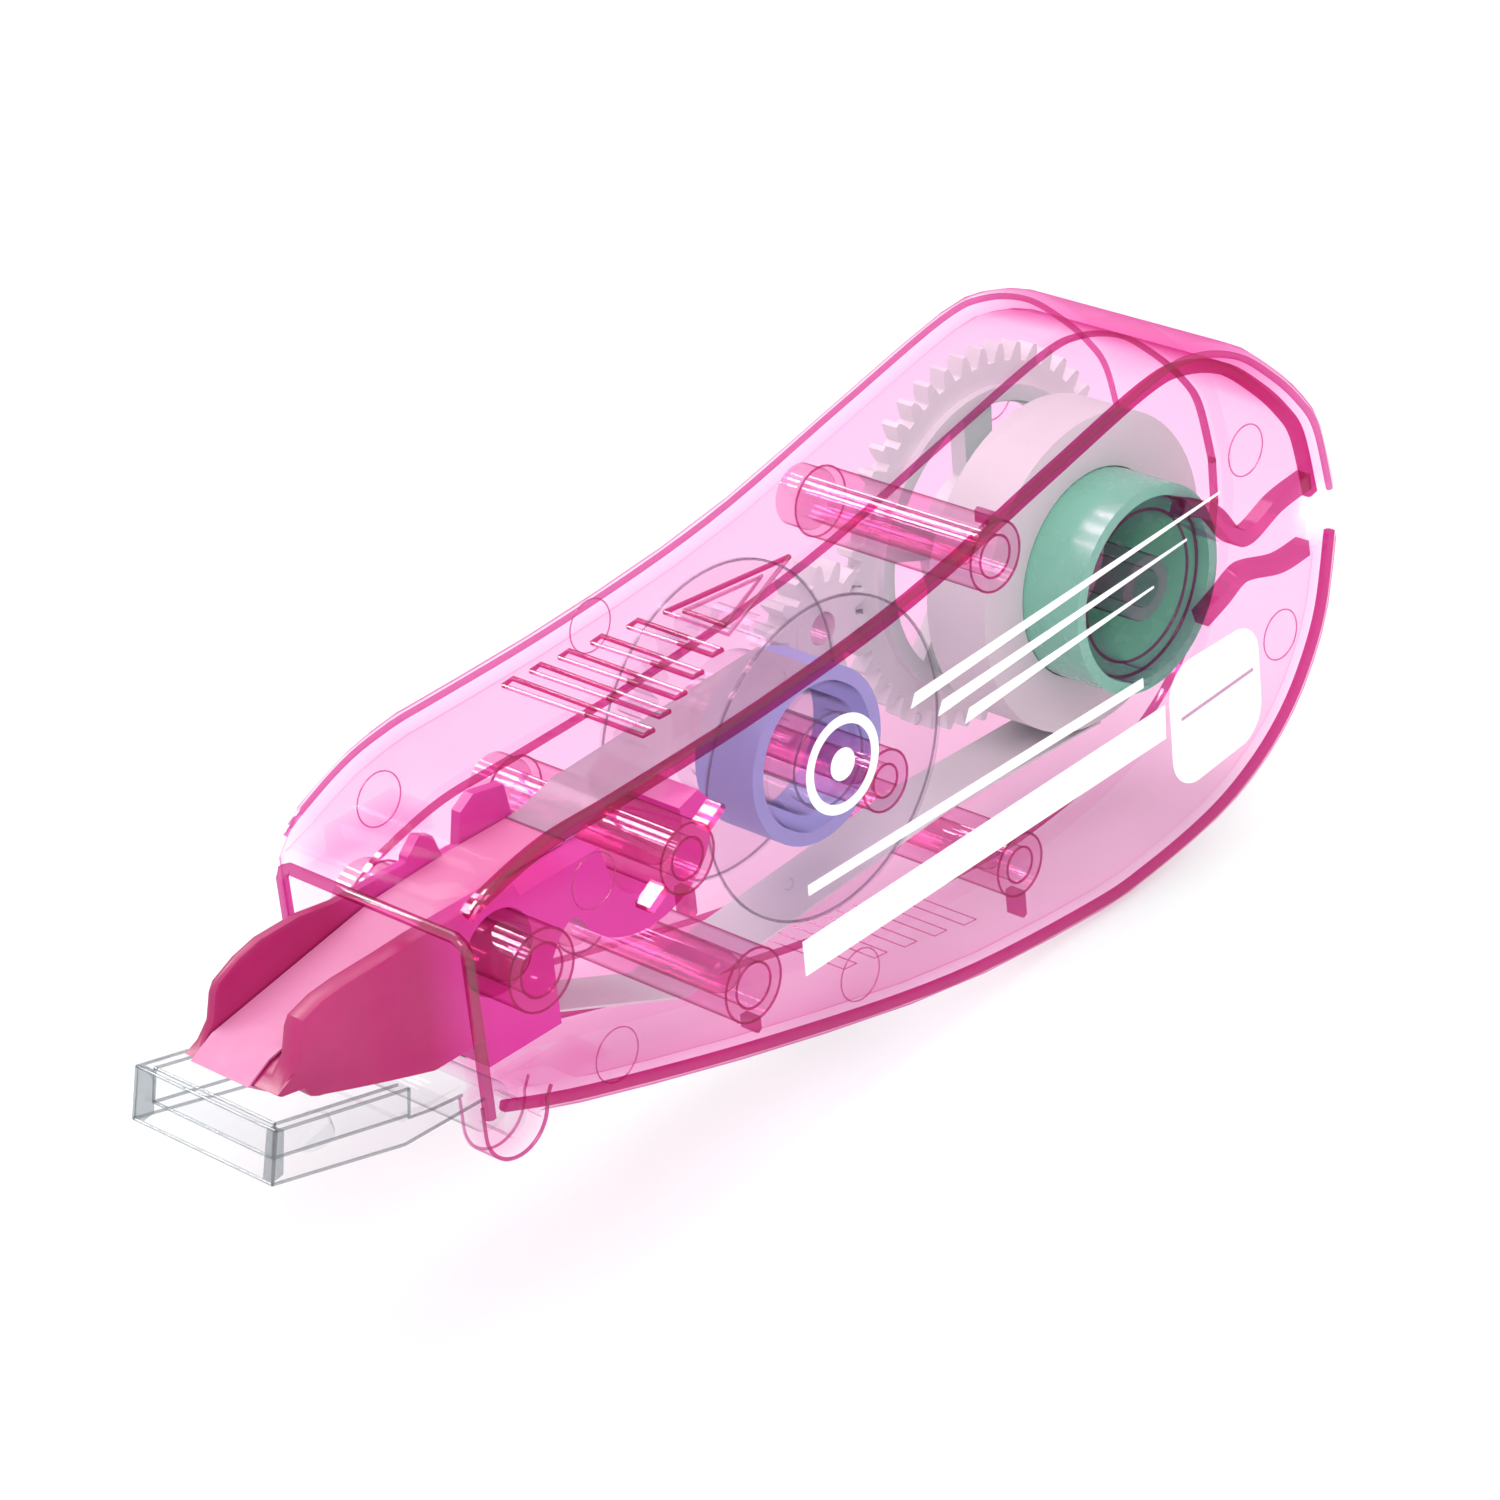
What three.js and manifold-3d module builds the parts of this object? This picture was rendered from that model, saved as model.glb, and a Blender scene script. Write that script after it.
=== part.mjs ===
// Correction tape roller: a see-through pink two-shell housing with a roll of correction tape, a geared
// take-up reel, a solid magenta tape head and a hinged clear tip cap.
// Millimetres, +X towards the rear, -Y the printed side, +Z up. The long axis of the housing lies along X.
import * as THREE from "three";
import Module from "manifold-3d";

const wasm = await Module();
wasm.setup();

// ---- driving dimensions ----
const NEAR = -7.3;            // outer face of the printed shell
const FAR = 9.2;              // outer face of the geared shell
const SEAM = 0.8;             // parting plane of the shells
const WALL = 1.05;            // shell wall
const ROUND = 1.3;            // outer edge rounding
const GAP = 0.05;             // play between pieces that are fixed to each other
const TAPER_X = -20;          // the geared shell narrows forward of here
const TAPER = 0.0238;         // narrowing per millimetre, as a share of the half width
const NEAR_IN = NEAR + WALL;
const FAR_IN = FAR - WALL;

const TAPE_Y0 = -1.3;         // tape edges: 4.2 mm wide tape
const TAPE_Y1 = 2.9;

const REEL = [0, 0];          // take-up axis
const SUPPLY = [22.99, 1.13]; // roll axis
const MODULE = 0.4725;        // gear module
const N_SUPPLY = 46;
const N_IDLER = 14;
const N_REEL = 24;
const GEAR_Y0 = 6.85;
const GEAR_Y1 = 7.95;
const ROLL_R = 9.28;
const LINER_R = 5.0;
const HINGE = [-29.0, -5.3];  // cap pivot

// The part's origin is the middle of the bottom of its bounding box.
const ORIGIN = [-2.5, 0.92, -15.557];

// ---- materials ----
const mat = (color, roughness, metalness = 0, opacity = 1) => new THREE.MeshStandardMaterial({
  color, roughness, metalness, opacity, transparent: opacity < 1,
});
const CLEAR_PINK = mat(0xf27bbd, 0.12, 0, 0.4);
const MAGENTA = mat(0xc02f7c, 0.42);
const CLEAR_GREY = mat(0xd9e0e2, 0.08, 0, 0.35);
const MINT = mat(0x8fcab4, 0.4);
const GEAR_GREY = mat(0xddd3da, 0.5);
const TAPE_WHITE = mat(0xe9e2e8, 0.6);
const LINER_BLUE = mat(0xa5a2cb, 0.5);
const FILM = mat(0xf2cfe2, 0.3);
const INK = mat(0xffffff, 0.55);

// ---- helpers ----
const group = new THREE.Group();

function toManifold(geometry) {
  const g = geometry.clone();
  g.deleteAttribute("normal");
  g.deleteAttribute("uv");
  const m = mergeVertices(g);
  return new wasm.Manifold(new wasm.Mesh({ numProp: 3, vertProperties: m.positions, triVerts: m.index }));
}

function mergeVertices(g) {
  const pos = g.getAttribute("position");
  const src = g.index ? g.index.array : null;
  const count = src ? src.length : pos.count;
  const seen = new Map();
  const positions = [];
  const index = [];
  for (let i = 0; i < count; i++) {
    const v = src ? src[i] : i;
    const p = [pos.getX(v), pos.getY(v), pos.getZ(v)];
    const key = p.map((c) => Math.round(c * 1e5)).join(",");
    if (!seen.has(key)) {
      seen.set(key, positions.length / 3);
      positions.push(...p);
    }
    index.push(seen.get(key));
  }
  const tris = [];
  for (let i = 0; i < index.length; i += 3) {
    const [a, b, c] = [index[i], index[i + 1], index[i + 2]];
    if (a !== b && b !== c && a !== c) {
      tris.push(a, b, c);
    }
  }
  return { positions: new Float32Array(positions), index: new Uint32Array(tris) };
}

function toGeometry(manifold) {
  const mesh = manifold.getMesh();
  const n = mesh.vertProperties.length / mesh.numProp;
  const positions = new Float32Array(n * 3);
  for (let i = 0; i < n; i++) {
    for (let k = 0; k < 3; k++) {
      positions[3 * i + k] = mesh.vertProperties[mesh.numProp * i + k];
    }
  }
  const g = new THREE.BufferGeometry();
  g.setAttribute("position", new THREE.BufferAttribute(positions, 3));
  g.setIndex(new THREE.BufferAttribute(new Uint32Array(mesh.triVerts), 1));
  return g;
}

function add(name, solid, material) {
  const g = toGeometry(solid);
  g.translate(-ORIGIN[0], -ORIGIN[1], -ORIGIN[2]);
  g.computeVertexNormals();
  const mesh = new THREE.Mesh(g, material.clone());
  mesh.name = name;
  group.add(mesh);
}

function union(parts) {
  return parts.reduce((a, b) => a.add(b));
}

// Closed outline from straight corners, in the side view (x, z).
function poly(points, holes = []) {
  const s = new THREE.Shape(points.map((p) => new THREE.Vector2(p[0], p[1])));
  s.holes.push(...holes);
  return s;
}

// Side-view outline extruded across the part from y0 to y1, with an optional edge round.
function slab(shape, y0, y1, round = 0, inset = 0, curve = 12, steps = 2) {
  const opts = { depth: y1 - y0 - 2 * round, curveSegments: curve, bevelEnabled: false };
  if (round > 0) {
    opts.bevelEnabled = true;
    opts.bevelThickness = round;
    opts.bevelSize = round;
    opts.bevelOffset = -round - inset;
    opts.bevelSegments = steps;
  }
  const g = new THREE.ExtrudeGeometry(shape, opts);
  g.rotateX(Math.PI / 2);
  g.translate(0, y1 - round, 0);
  return g;
}

const slabSolid = (...a) => toManifold(slab(...a));

function box(x0, x1, y0, y1, z0, z1) {
  const g = new THREE.BoxGeometry(x1 - x0, y1 - y0, z1 - z0);
  g.translate((x0 + x1) / 2, (y0 + y1) / 2, (z0 + z1) / 2);
  return toManifold(g);
}

function rod(x, z, r, y0, y1, segments = 24) {
  const g = new THREE.CylinderGeometry(r, r, y1 - y0, segments);
  g.translate(x, (y0 + y1) / 2, z);
  return toManifold(g);
}

// Turned piece about a Y axis: profile is a list of [radius, y].
function turned(x, z, profile, segments = 32) {
  const g = new THREE.LatheGeometry(profile.map((p) => new THREE.Vector2(p[0], p[1])), segments);
  g.translate(x, 0, z);
  const solid = toManifold(g);
  if (solid.volume() > 0) {
    return solid;
  }
  const idx = g.index.array;
  for (let i = 0; i < idx.length; i += 3) {
    const t = idx[i];
    idx[i] = idx[i + 1];
    idx[i + 1] = t;
  }
  return toManifold(g);
}

const ring = (x, z, r0, r1, y0, y1, segments = 32) => turned(x, z, [
  [r0, y0], [r1, y0], [r1, y1], [r0, y1], [r0, y0],
], segments);

// ---- housing outline ----
const TOP = [[-28.6, 7.9], [-24.0, 8.9], [-18.3, 9.0], [-8.1, 9.4], [3.1, 10.6], [14.0, 13.0], [22.8, 14.9],
  [26.6, 14.8], [30.2, 13.4], [33.1, 11.1], [35.4, 8.7], [37.0, 6.2], [38.0, 1.9]];
const BELLY = [[38.0, -1.0], [36.8, -5.6], [34.9, -8.9], [32.5, -11.4], [29.4, -13.3], [25.6, -14.6],
  [20.0, -15.4], [14.8, -15.5], [3.1, -14.3], [-10.8, -11.1], [-23.6, -7.4], [-29.6, -5.2]];

function bodyOutline(front) {
  const s = new THREE.Shape();
  s.moveTo(front, -4.5);
  s.lineTo(-29.6, -5.2);
  s.splineThru(BELLY.slice(0, -1).reverse().map((p) => new THREE.Vector2(p[0], p[1])));
  s.lineTo(38.0, 1.9);
  s.splineThru(TOP.slice(0, -1).reverse().map((p) => new THREE.Vector2(p[0], p[1])));
  s.lineTo(front, 5.9);
  return s;
}

// Narrows the geared side of a solid towards the front opening.
function narrowed(solid) {
  const rear = solid.intersect(box(TAPER_X, 60, -30, 30, -40, 40));
  const front = toGeometry(solid.intersect(box(-60, TAPER_X, -30, 30, -40, 40)));
  const p = front.getAttribute("position");
  for (let i = 0; i < p.count; i++) {
    const y = p.getY(i);
    if (y > SEAM) {
      const k = 1 + TAPER * Math.max(p.getX(i) - TAPER_X, -11);
      p.setY(i, SEAM + (y - SEAM) * k);
    }
  }
  return rear.add(toManifold(front));
}

const outer = narrowed(slabSolid(bodyOutline(-30.6), NEAR, FAR, ROUND, 0, 2, 3));
const room = narrowed(slabSolid(bodyOutline(-36), NEAR_IN + GAP, FAR_IN - GAP, 0.7, WALL + GAP, 2, 2));
const inner = narrowed(slabSolid(bodyOutline(-36), NEAR_IN, FAR_IN, 0.7, WALL, 2, 2));

// Grip bars and the arrow moulded on the top wall.
const BARS = [[-7.3, -2.2, 3.9], [-9.5, -2.9, 4.4], [-11.5, -3.6, 4.8], [-13.3, -4.2, 5.1], [-15.1, -4.8, 5.3]];
const grips = BARS.map(([x, y0, y1]) => {
  const z = 9.4 + 0.045 * (x + 8.1);
  return box(x - 0.4, x + 0.4, y0, y1, z - 0.6, z + 0.3);
});

function arrow() {
  const s = new THREE.Shape([[-5.6, -1.4], [1.9, 1.1], [-5.6, 3.4]].map((p) => new THREE.Vector2(...p)));
  const h = new THREE.Path([[-4.9, -0.5], [-4.9, 2.5], [-0.3, 1.08]].map((p) => new THREE.Vector2(...p)));
  s.holes.push(h);
  const g = new THREE.ExtrudeGeometry(s, { depth: 0.9, bevelEnabled: false });
  g.rotateY(-0.1);
  g.translate(0, 0, 9.42);
  return toManifold(g);
}

// Hinge lugs below the front opening.
function lug(y0, y1, top) {
  const s = new THREE.Shape();
  s.moveTo(HINGE[0] - 2.2, top);
  s.lineTo(HINGE[0] - 2.2, HINGE[1]);
  s.absarc(HINGE[0], HINGE[1], 2.2, Math.PI, 2 * Math.PI, false);
  s.lineTo(HINGE[0] + 3.2, top);
  return slabSolid(s, y0, y1, 0, 0, 8);
}
const lugHole = rod(HINGE[0], HINGE[1], 0.98, -20, 20, 20);
const capRelief = box(-40, HINGE[0] + 1.75, -5.35, 5.35, -20, HINGE[1] + 1.6)
  .add(rod(HINGE[0], HINGE[1], 1.85, -5.35, 5.35, 24));

// Blocks that hold the head between the shells, at both sides of the front opening.
const headBlocks = (y0, y1) => [
  box(-29.4, -22.4, y0, y1, 4.55, 6.0),
  box(-27.0, -21.6, y0, y1, -6.3, -5.45),
];

const solidShell = union([outer.subtract(inner), ...grips, arrow(),
  lug(NEAR + 0.1, -5.4, -3.4), lug(NEAR + 0.1, NEAR_IN, -1.2),
  lug(5.4, 7.35, -3.4), lug(6.3, 7.35, -1.2)]).subtract(lugHole).subtract(capRelief);

// ---- printed-side shell: core ring, S walls and the rear notch ----
const RING_IN = 4.35;
const RING_OUT = 5.25;
const keyDepth = -4.4;

function sWall(points, thickness) {
  const pts = points.map((p) => new THREE.Vector2(...p));
  const curve = new THREE.SplineCurve(pts);
  const n = 8;
  const left = [];
  const right = [];
  for (let i = 0; i <= n; i++) {
    const p = curve.getPoint(i / n);
    const t = curve.getTangent(i / n);
    left.push([p.x - t.y * thickness / 2, p.y + t.x * thickness / 2]);
    right.unshift([p.x + t.y * thickness / 2, p.y - t.x * thickness / 2]);
  }
  return slabSolid(poly([...left, ...right]), NEAR_IN - 0.3, -5.3);
}
const upperS = [[25.3, 5.4], [27.9, 4.0], [29.6, 1.9], [31.0, 1.35], [33.6, 2.2], [37.3, 2.6]];
const lowerS = [[26.6, -2.1], [28.4, -1.5], [29.9, -0.85], [31.0, -0.9], [33.6, -1.6], [37.3, -1.5]];
const keyMouth = poly([[24, 3.2], [26.7, 3.5], [29.0, 1.3], [31, 0.75], [31, -0.3], [28.5, -0.8], [25.8, -1.3]]);
const notch = slabSolid(poly([[34.2, 0.25], [34.6, 1.35], [35.6, 2.05], [39, 2.3], [39, -1.05], [35.6, -1.0],
  [34.6, -0.7]]), NEAR - 1, keyDepth + 0.4);

const keyhole = ring(SUPPLY[0], SUPPLY[1], RING_IN, RING_OUT, NEAR_IN - 0.3, keyDepth, 40)
  .subtract(slabSolid(keyMouth, NEAR_IN - 1, keyDepth + 1));
const nearCut = box(-60, 60, -30, SEAM - 0.02, -40, 40);
const farCut = box(-60, 60, SEAM + 0.02, 30, -40, 40);
const cavity = slabSolid(bodyOutline(-36), NEAR - 1, FAR + 1, 0.01, 0.3, 1, 1);

const shellRight = union([solidShell.intersect(nearCut), keyhole,
  sWall(upperS, 0.9).intersect(cavity), sWall(lowerS, 0.9).intersect(cavity),
  ...headBlocks(NEAR_IN - 0.2, -3.5)]).subtract(notch);
add("shell_right", shellRight, CLEAR_PINK);

const shellLeft = union([solidShell.intersect(farCut), ...headBlocks(4.05, 6.9).map((b) => b.intersect(outer))]);
add("shell_left", shellLeft, CLEAR_PINK);

// ---- moulded posts: a tube from the printed side and a pin from the geared side inside it ----
const POSTS = {
  top: { at: [9.8, 9.0], r: 2.0, fins: [90] },
  takeup: { at: REEL, r: 1.75, fins: [] },
  rear: { at: [9.8, -9.8], r: 1.85, fins: [-90] },
  guide: { at: [-14.7, 2.35], r: 1.95, fins: [30, 210, -90] },
  front: { at: [-11.1, -6.95], r: 2.1, fins: [-90] },
  head: { at: [-25.3, 1.07], r: 2.25, fins: [] },
};
for (const [name, post] of Object.entries(POSTS)) {
  const [x, z] = post.at;
  const bore = post.r - 0.85;
  const end = name === "head" ? 5.6 : 6.4;
  const tube = ring(x, z, bore, post.r, NEAR_IN + GAP, end, 28);
  const fins = post.fins.map((deg) => {
    const g = new THREE.BoxGeometry(1.9, 1.9, 0.5);
    g.translate(post.r + 0.65, NEAR_IN + GAP + 0.95, 0);
    g.rotateY(-deg * Math.PI / 180);
    g.translate(x, 0, z);
    return toManifold(g).subtract(rod(x, z, post.r - 0.3, -20, 20, 28));
  });
  add(`post_${name}`, union([tube, ...fins]).intersect(room), CLEAR_PINK);
  const wall = name === "head" ? FAR_IN - 1.05 : FAR_IN - GAP;
  const pin = turned(x, z, [
    [0, NEAR_IN + 1.6], [0.5 * bore, NEAR_IN + 1.75], [bore - 0.07, NEAR_IN + 2.5],
    [bore - 0.07, end + 0.35], [post.r - 0.25, end + 0.35], [post.r - 0.25, wall], [0, wall],
  ], 20);
  add(`pin_${name}`, pin.intersect(room), CLEAR_PINK);
}
add("axle_supply", turned(SUPPLY[0], SUPPLY[1], [
  [0, 5.9], [1.1, 5.9], [1.1, -5.0], [1.9, -5.0], [1.9, FAR_IN - GAP], [0, FAR_IN - GAP],
], 28), CLEAR_PINK);
const IDLER_D1 = MODULE * (N_REEL + N_IDLER) / 2;
const IDLER_D2 = MODULE * (N_SUPPLY + N_IDLER) / 2;
const AXES = Math.hypot(SUPPLY[0], SUPPLY[1]);
const alongAxes = (IDLER_D1 ** 2 - IDLER_D2 ** 2 + AXES ** 2) / (2 * AXES);
const offAxes = Math.sqrt(IDLER_D1 ** 2 - alongAxes ** 2);
const tilt = Math.atan2(SUPPLY[1], SUPPLY[0]);
const IDLER = [
  alongAxes * Math.cos(tilt) - offAxes * Math.sin(tilt),
  alongAxes * Math.sin(tilt) + offAxes * Math.cos(tilt),
];
add("axle_idler", turned(IDLER[0], IDLER[1], [
  [0, 6.2], [0.95, 6.2], [0.95, FAR_IN - GAP], [0, FAR_IN - GAP],
], 20), CLEAR_PINK);

// ---- gears ----
function gearOutline(x, z, teeth, phase, holes = []) {
  const rp = MODULE * teeth / 2;
  const tip = rp + 0.93 * MODULE;
  const root = rp - 1.25 * MODULE;
  const pitch = 2 * Math.PI / teeth;
  const pts = [];
  for (let i = 0; i < teeth; i++) {
    const a = phase + i * pitch;
    const corners = [[root, -0.33], [rp, -0.225], [tip, -0.1], [tip, 0.1], [rp, 0.225], [root, 0.33]];
    for (const [r, share] of corners) {
      pts.push([x + r * Math.cos(a + share * pitch), z + r * Math.sin(a + share * pitch)]);
    }
  }
  return poly(pts, holes);
}
const toIdler = Math.atan2(SUPPLY[1] - IDLER[1], SUPPLY[0] - IDLER[0]);
const toReel = Math.atan2(IDLER[1], IDLER[0]);
// A supply-gear tooth points at the idler, so an idler gap points at the supply gear, and so on.
const idlerPitch = 2 * Math.PI / N_IDLER;
const supplyPhase = toIdler + Math.PI;
const idlerPhase = toIdler + idlerPitch / 2;
const reelPitch = 2 * Math.PI / N_REEL;
// Idler tooth angle nearest the line to the reel, as a share of its pitch.
const idlerShare = (((toReel + Math.PI - idlerPhase) / idlerPitch) % 1 + 1) % 1;
const reelPhase = toReel + reelPitch * (0.5 + idlerShare);

const spokes = 5;
const windows = [];
for (let i = 0; i < spokes; i++) {
  const w = new THREE.Path();
  const a0 = (i * 2 * Math.PI) / spokes + 0.42;
  const a1 = a0 + (2 * Math.PI) / spokes - 0.3;
  w.absarc(SUPPLY[0], SUPPLY[1], 7.9, a0, a1, false);
  w.absarc(SUPPLY[0], SUPPLY[1], 4.2, a1 - 0.12, a0 + 0.12, true);
  windows.push(w);
}
const supplyGear = union([
  slabSolid(gearOutline(SUPPLY[0], SUPPLY[1], N_SUPPLY, supplyPhase, windows), GEAR_Y0, GEAR_Y1, 0, 0, 6),
  ring(SUPPLY[0], SUPPLY[1], 8.1, 9.0, GEAR_Y0 - 0.5, GEAR_Y1 - 0.2, 48),
  ring(SUPPLY[0], SUPPLY[1], 2.6, 3.9, 1.2, GEAR_Y1 - 0.2, 32),
]).subtract(rod(SUPPLY[0], SUPPLY[1], 1.97, -20, 20, 32));
add("supply_gear", supplyGear, GEAR_GREY);

const idlerGear = union([
  slabSolid(gearOutline(IDLER[0], IDLER[1], N_IDLER, idlerPhase), GEAR_Y0 - 0.6, GEAR_Y1),
  rod(IDLER[0], IDLER[1], 2.1, 6.2, GEAR_Y1, 24),
]).subtract(rod(IDLER[0], IDLER[1], 1.0, -20, 20, 20));
add("idler_gear", idlerGear, GEAR_GREY);

// ---- roll of correction tape on its mint core ----
add("supply_core", turned(SUPPLY[0], SUPPLY[1], [
  [5.35, -5.2], [6.05, -5.2], [6.05, 3.3], [7.9, 3.3], [7.9, 3.9], [5.35, 3.9], [5.35, 3.2], [3.98, 3.2],
  [3.98, 2.4], [5.35, 2.4], [5.35, -5.2],
], 48), MINT);
add("correction_roll", ring(SUPPLY[0], SUPPLY[1], 6.1, ROLL_R, TAPE_Y0, TAPE_Y1, 64), TAPE_WHITE);

// ---- take-up reel ----
const FLANGE_R = 9.06;
const nubs = [115, 235, 355].map((deg) => {
  const a = deg * Math.PI / 180;
  return rod(REEL[0] + 6.9 * Math.cos(a), REEL[1] + 6.9 * Math.sin(a), 0.34, -2.25, -1.9, 10);
});
const reelBody = turned(REEL[0], REEL[1], [
  [2.6, -2.1], [FLANGE_R - 0.15, -2.1], [FLANGE_R, -1.95], [FLANGE_R, -1.6], [4.15, -1.6], [4.15, 5.55],
  [3.3, 5.55], [3.3, -1.2], [2.6, -1.2], [2.6, -2.1],
], 56);
add("takeup_reel", union([reelBody, ...nubs]), CLEAR_GREY);
const gearDisc = union([
  ring(REEL[0], REEL[1], 1.85, FLANGE_R, 5.65, 6.1, 56),
  ring(REEL[0], REEL[1], 1.85, 3.24, -1.1, 5.8, 32),
  slabSolid(gearOutline(REEL[0], REEL[1], N_REEL, reelPhase), 6.0, GEAR_Y1),
]).subtract(rod(REEL[0], REEL[1], 1.85, -20, 20, 32));
add("takeup_gear", gearDisc, CLEAR_GREY);
add("used_liner", ring(REEL[0], REEL[1], 4.2, LINER_R, TAPE_Y0, TAPE_Y1, 48), LINER_BLUE);

// ---- head ----
const HEAD_Y0 = -3.1;
const HEAD_Y1 = 3.65;
const CRADLE = POSTS.guide.at;
function headSide() {
  const s = new THREE.Shape();
  s.moveTo(-40.3, 0.5);
  s.lineTo(-38.9, -0.5);
  s.lineTo(-37.4, -0.9);
  s.quadraticCurveTo(-34.0, -2.1, -30.4, -3.2);
  s.lineTo(-26.9, -3.2);
  s.lineTo(-26.9, -4.85);
  s.lineTo(-21.8, -4.85);
  s.lineTo(-21.8, -1.0);
  s.quadraticCurveTo(-20.4, 1.2, -19.6, 0.2);
  s.quadraticCurveTo(-18.4, -2.35, -14.9, -2.55);
  s.quadraticCurveTo(-10.0, -2.2, -9.7, 2.4);
  s.lineTo(-10.6, 3.5);
  s.lineTo(-11.9, 3.1);
  s.absarc(CRADLE[0], CRADLE[1], 2.75, 0.25, -3.0, true);
  s.lineTo(-17.8, 3.5);
  s.lineTo(-22.5, 3.5);
  s.lineTo(-28.0, 3.2);
  s.lineTo(-39.0, 1.1);
  return s;
}
// Guard wall in the side view: a flared toe, a steep front edge and a long crest.
function guard(rise) {
  return poly([[-40.1, 0.36], [-38.8, 1.75], [-38.4, 3.1], [-38.05, 3.6], [-36.6, 4.05 + rise / 2],
    [-35.1, 4.2 + rise], [-32.5, 4.25 + rise], [-30.2, 4.35], [-23.6, 4.3], [-23.0, 2.4], [-23.0, 0],
    [-37.5, -0.9], [-38.2, -0.5], [-38.5, 0.08]]);
}
const earShape = poly([[-25.6, 3.0], [-25.2, 4.5], [-24.3, 5.3], [-23.4, 4.9], [-22.8, 3.0]]);
const backEar = poly([[-21.9, 3.0], [-21.4, 5.3], [-20.4, 5.9], [-18.3, 5.5], [-17.9, 3.0]]);
const toeStep = slabSolid(poly([[-40.7, 0.42], [-38.6, 0.05], [-38.3, -0.55], [-37.5, -0.95], [-38.6, -1.6],
  [-40.7, -0.6]]), HEAD_Y0 - 1, TAPE_Y0 - 0.2);
const head = union([
  slabSolid(headSide(), HEAD_Y0, HEAD_Y1, 0, 0, 8),
  slabSolid(guard(0), HEAD_Y0, TAPE_Y0 - 0.5, 0.35, 0, 6, 2),
  slabSolid(guard(0.45), TAPE_Y1 + 0.1, HEAD_Y1, 0.25, 0, 6, 2),
  slabSolid(earShape, TAPE_Y1 + 0.1, HEAD_Y1),
  slabSolid(backEar, TAPE_Y1 + 0.1, HEAD_Y1),
]).subtract(rod(POSTS.head.at[0], POSTS.head.at[1], 2.35, -20, 20, 28)).subtract(toeStep);

// ---- tape film: strips of a given path in the side view ----
function strip(points, thickness, y0, y1) {
  const left = [];
  const right = [];
  const n = points.length;
  for (let i = 0; i < n; i++) {
    const a = points[Math.max(i - 1, 0)];
    const b = points[i];
    const c = points[Math.min(i + 1, n - 1)];
    const d1 = new THREE.Vector2(b[0] - a[0], b[1] - a[1]);
    const d2 = new THREE.Vector2(c[0] - b[0], c[1] - b[1]);
    if (i === 0) {
      d1.copy(d2);
    }
    if (i === n - 1) {
      d2.copy(d1);
    }
    const t = d1.normalize().add(d2.normalize()).normalize();
    const half = thickness / 2 / Math.max(t.dot(d2), 0.5);
    left.push([b[0] - t.y * half, b[1] + t.x * half]);
    right.unshift([b[0] + t.y * half, b[1] - t.x * half]);
  }
  return slabSolid(poly([...left, ...right]), y0, y1);
}
function arcPoints(cx, cz, r, deg0, deg1, n) {
  const pts = [];
  for (let i = 0; i <= n; i++) {
    const a = (deg0 + (deg1 - deg0) * i / n) * Math.PI / 180;
    pts.push([cx + r * Math.cos(a), cz + r * Math.sin(a)]);
  }
  return pts;
}
const FILM_T = 0.12;
const feedPath = [
  ...arcPoints(SUPPLY[0], SUPPLY[1], ROLL_R + 0.12, 262, 268, 1).reverse(),
  ...arcPoints(9.8, -9.8, 2.0, 92, 96, 1),
  ...arcPoints(-11.1, -6.95, 2.22, 272, 238, 4),
  [-20.6, -5.4], [-21.9, -4.98], [-26.9, -4.98],
];
add("tape_feed", strip(feedPath, FILM_T, TAPE_Y0, TAPE_Y1), TAPE_WHITE);
const tipPath = [[-27.1, -3.35], [-30.3, -3.35], [-34.0, -2.2], [-37.4, -1.05], [-39.0, -0.62], [-40.5, 0.5],
  [-39.05, 1.25], [-34.0, 2.2], [-28.1, 3.32], [-22.5, 3.62], [-18.6, 3.62]];
add("tape_tip", strip(tipPath, FILM_T, TAPE_Y0, TAPE_Y1), FILM);
const returnPath = [[-18.4, 3.64], [-17.6, 3.7], ...arcPoints(CRADLE[0], CRADLE[1], 2.07, 118, 80, 4),
  ...arcPoints(REEL[0], REEL[1], LINER_R + 0.1, 96, 84, 2)];
add("tape_return", strip(returnPath, FILM_T, TAPE_Y0, TAPE_Y1), FILM);
add("tape_head", head, MAGENTA);

// ---- clear tip cap ----
const CAP_Y = 5.15;
const trayOuter = poly([[-43.0, -2.4], [-42.25, 0.3], [-33.8, -1.7], [-34.1, -3.3], [-32.6, -3.6], [-29.4, -3.95],
  [-29.2, -4.8], [-34.6, -4.6]]);
const trayInner = poly([[-42.15, -1.6], [-41.4, 1.2], [-33.0, -0.5], [-33.6, -3.7]]);
const armInner = poly([[-34.0, -3.9], [-34.0, -2.6], [-28, -2.6], [-28, -3.9]]);
const nub = (y) => {
  const g = new THREE.CylinderGeometry(1.1, 1.1, 0.8, 20);
  g.rotateX(Math.PI / 2);
  g.rotateY(-0.22);
  g.translate(-40.2, y, -0.75);
  return toManifold(g);
};
const cap = union([slabSolid(trayOuter, -CAP_Y, CAP_Y), nub(-CAP_Y), nub(CAP_Y),
  rod(HINGE[0], HINGE[1], 1.35, -CAP_Y, CAP_Y, 24)])
  .subtract(slabSolid(trayInner, -CAP_Y + 0.8, CAP_Y - 0.8))
  .subtract(slabSolid(armInner, -CAP_Y + 0.8, CAP_Y - 0.8))
  .add(rod(HINGE[0], HINGE[1], 0.9, -6.9, 6.9, 20));
add("tip_cap", cap, CLEAR_GREY);

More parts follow.
